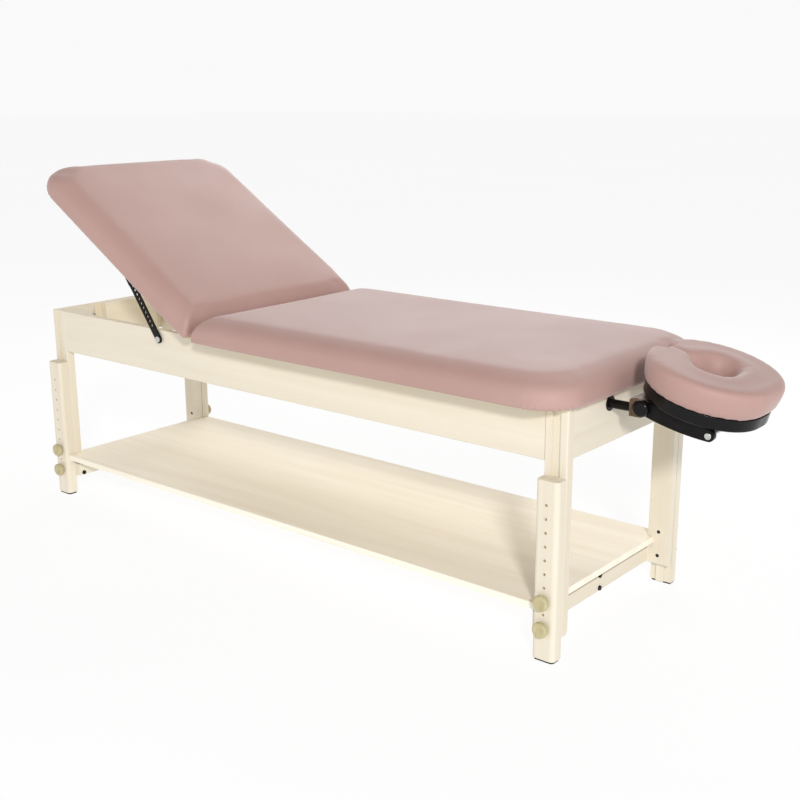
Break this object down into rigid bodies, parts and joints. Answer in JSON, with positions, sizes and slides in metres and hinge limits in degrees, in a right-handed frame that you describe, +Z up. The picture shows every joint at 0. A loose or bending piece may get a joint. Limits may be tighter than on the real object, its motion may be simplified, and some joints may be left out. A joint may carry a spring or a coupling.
{
  "type": "massage table",
  "caption": "Upholstered massage table on a cream wooden frame: lift-back top on notched stays, telescoping legs set by knobs, lower shelf, tilting horseshoe face cradle.",
  "frame": {"origin": "on the floor, under the middle of the whole table's box at rest", "axes": "+X along the table to the face cradle end, +Y to the rear side, +Z up; the front in the picture is -Y"},
  "size_m": [2.1224, 0.663, 0.9884],
  "materials": {
    "cream_wood": "satin cream lacquer",
    "board": "plain plywood",
    "cover": "dusty rose vinyl, satin, fine grain",
    "knob_plastic": "khaki, satin",
    "foot_rubber": "matt black",
    "zinc_steel": "bright zinc",
    "black_steel": "black, half gloss",
    "black_plastic": "black, gloss",
    "brown_wood": "dark brown stain"
  },
  "bodies": {
    "frame": {"post_head_front": "cream_wood", "post_head_rear": "cream_wood", "post_back_front": "cream_wood", "post_back_rear": "cream_wood", "apron_front": "cream_wood", "apron_rear": "cream_wood", "apron_head": "cream_wood", "apron_back": "cream_wood", "corner_blocks": "cream_wood", "corner_bolts": "zinc_steel", "end_block": "cream_wood", "knob_inserts": "black_steel", "hinge_cross_rail": "cream_wood", "shelf_panel": "cream_wood", "shelf_rail_head": "cream_wood", "shelf_rail_back": "cream_wood", "shelf_rail_bolts": "black_steel", "seat_board": "board", "seat_pad": "cover", "hinge_leaf_seat": "zinc_steel", "hinge_pins": "zinc_steel", "hinge_screws_seat": "zinc_steel", "stay_bolts": "zinc_steel", "stay_nuts": "zinc_steel", "cradle_bushes": "black_steel"},
    "backrest": {"back_board": "board", "back_pad": "cover", "back_battens": "cream_wood", "hinge_leaf_back": "zinc_steel", "hinge_screws_back": "zinc_steel", "stay_brackets": "black_steel", "stay_pins": "zinc_steel", "stay_bracket_screws": "zinc_steel"},
    "front_stay": {"stay_front": "black_steel"},
    "rear_stay": {"stay_rear": "black_steel"},
    "cradle_carriage": {"cradle_rods": "black_steel", "cradle_crossbar": "brown_wood", "cradle_pivot_rod": "zinc_steel"},
    "cradle_arms": {"cradle_arm_front": "black_steel", "cradle_arm_rear": "black_steel", "cradle_tilt_rod": "zinc_steel"},
    "cradle_head": {"cradle_platform": "black_plastic", "face_pad": "cover"},
    "cradle_lock": {"cradle_lock_knob": "black_plastic"},
    "leg_head_front": {"leg_head_front": "cream_wood", "foot_head_front": "foot_rubber"},
    "knob_head_front_low": {"knob_head_front_low": "knob_plastic"},
    "knob_head_front_high": {"knob_head_front_high": "knob_plastic"},
    "leg_head_rear": {"leg_head_rear": "cream_wood", "foot_head_rear": "foot_rubber"},
    "knob_head_rear_low": {"knob_head_rear_low": "knob_plastic"},
    "knob_head_rear_high": {"knob_head_rear_high": "knob_plastic"},
    "leg_back_front": {"leg_back_front": "cream_wood", "foot_back_front": "foot_rubber"},
    "knob_back_front_low": {"knob_back_front_low": "knob_plastic"},
    "knob_back_front_high": {"knob_back_front_high": "knob_plastic"},
    "leg_back_rear": {"leg_back_rear": "cream_wood", "foot_back_rear": "foot_rubber"},
    "knob_back_rear_low": {"knob_back_rear_low": "knob_plastic"},
    "knob_back_rear_high": {"knob_back_rear_high": "knob_plastic"}
  },
  "joints": [
    {"name": "backrest_tilt", "type": "hinge", "parent": "frame", "child": "backrest", "pos_m": [-0.38023, 0, 0.565], "axis": [0, 1, 0], "range_deg": [-31.7, 0]},
    {"name": "front_stay_turn", "type": "hinge", "parent": "frame", "child": "front_stay", "pos_m": [-0.56523, -0.2622, 0.541], "axis": [0, 1, 0], "range_deg": [-55, 1]},
    {"name": "rear_stay_turn", "type": "hinge", "parent": "frame", "child": "rear_stay", "pos_m": [-0.56523, 0.2622, 0.541], "axis": [0, 1, 0], "range_deg": [-55, 1]},
    {"name": "cradle_slide", "type": "slide", "parent": "frame", "child": "cradle_carriage", "axis": [1, 0, 0], "range_m": [0, 0.1]},
    {"name": "cradle_arm_tilt", "type": "hinge", "parent": "cradle_carriage", "child": "cradle_arms", "pos_m": [0.82077, 0, 0.554], "axis": [0, -1, 0], "range_deg": [-30, 8]},
    {"name": "cradle_head_tilt", "type": "hinge", "parent": "cradle_arms", "child": "cradle_head", "pos_m": [0.96977, 0, 0.52], "axis": [0, -1, 0], "range_deg": [-25, 0.5]},
    {"name": "cradle_lock_turn", "type": "hinge", "parent": "cradle_carriage", "child": "cradle_lock", "pos_m": [0.82077, -0.124, 0.554], "axis": [0, -1, 0], "continuous": true},
    {"name": "leg_slide_head_front", "type": "slide", "parent": "frame", "child": "leg_head_front", "axis": [0, 0, -1], "range_m": [0, 0.1866]},
    {"name": "turn_knob_head_front_low", "type": "hinge", "parent": "frame", "child": "knob_head_front_low", "pos_m": [0.70077, -0.29, 0.0793], "axis": [0, -1, 0], "continuous": true},
    {"name": "turn_knob_head_front_high", "type": "hinge", "parent": "frame", "child": "knob_head_front_high", "pos_m": [0.70077, -0.29, 0.1415], "axis": [0, -1, 0], "continuous": true},
    {"name": "leg_slide_head_rear", "type": "slide", "parent": "frame", "child": "leg_head_rear", "axis": [0, 0, -1], "range_m": [0, 0.1866]},
    {"name": "turn_knob_head_rear_low", "type": "hinge", "parent": "frame", "child": "knob_head_rear_low", "pos_m": [0.70077, 0.29, 0.0793], "axis": [0, 1, 0], "continuous": true},
    {"name": "turn_knob_head_rear_high", "type": "hinge", "parent": "frame", "child": "knob_head_rear_high", "pos_m": [0.70077, 0.29, 0.1415], "axis": [0, 1, 0], "continuous": true},
    {"name": "leg_slide_back_front", "type": "slide", "parent": "frame", "child": "leg_back_front", "axis": [0, 0, -1], "range_m": [0, 0.1866]},
    {"name": "turn_knob_back_front_low", "type": "hinge", "parent": "frame", "child": "knob_back_front_low", "pos_m": [-1.03323, -0.29, 0.0793], "axis": [0, -1, 0], "continuous": true},
    {"name": "turn_knob_back_front_high", "type": "hinge", "parent": "frame", "child": "knob_back_front_high", "pos_m": [-1.03323, -0.29, 0.1415], "axis": [0, -1, 0], "continuous": true},
    {"name": "leg_slide_back_rear", "type": "slide", "parent": "frame", "child": "leg_back_rear", "axis": [0, 0, -1], "range_m": [0, 0.1866]},
    {"name": "turn_knob_back_rear_low", "type": "hinge", "parent": "frame", "child": "knob_back_rear_low", "pos_m": [-1.03323, 0.29, 0.0793], "axis": [0, 1, 0], "continuous": true},
    {"name": "turn_knob_back_rear_high", "type": "hinge", "parent": "frame", "child": "knob_back_rear_high", "pos_m": [-1.03323, 0.29, 0.1415], "axis": [0, 1, 0], "continuous": true}
  ],
  "couplings": [
    {"joint": "front_stay_turn", "follows": "backrest_tilt", "ratio": 1.684},
    {"joint": "rear_stay_turn", "follows": "backrest_tilt", "ratio": 1.684}
  ]
}
